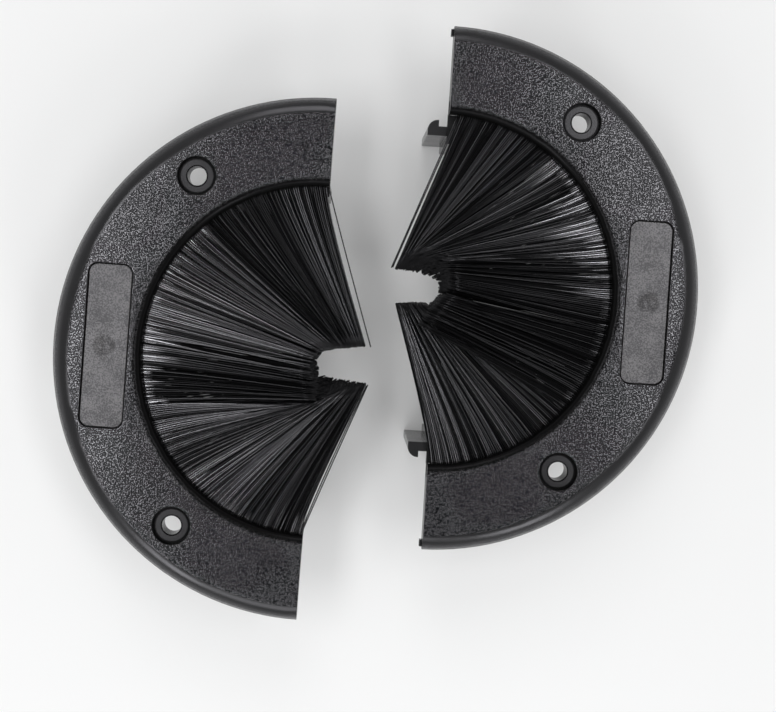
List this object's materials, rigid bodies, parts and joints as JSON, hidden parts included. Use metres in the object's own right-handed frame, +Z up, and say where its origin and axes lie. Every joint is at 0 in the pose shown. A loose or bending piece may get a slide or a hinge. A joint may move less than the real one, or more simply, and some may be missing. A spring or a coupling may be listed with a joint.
{
  "type": "split brush cable grommet",
  "caption": "Round brush grommet in open halves: a screw-down flange with a collar, snap hooks, and a half ring of black bristles that closes around cables.",
  "frame": {"origin": "on the table, midway between the centres of the two halves", "axes": "+Z up out of the flange's face, +X from the half with catches to the half with hooks, +Y along the split of the half with hooks"},
  "size_m": [0.1518, 0.1426, 0.0345],
  "materials": {
    "frame_plastic": "spark-textured moulding with a smooth rim",
    "brush_steel": "bright zinc",
    "bristle_nylon": "drawn filament"
  },
  "bodies": {
    "root": {"male_frame": "frame_plastic", "male_brush_channel": "brush_steel", "male_core_wire": "brush_steel", "male_bristles": "bristle_nylon", "female_frame": "frame_plastic", "female_brush_channel": "brush_steel", "female_core_wire": "brush_steel", "female_bristles": "bristle_nylon"}
  },
  "joints": []
}
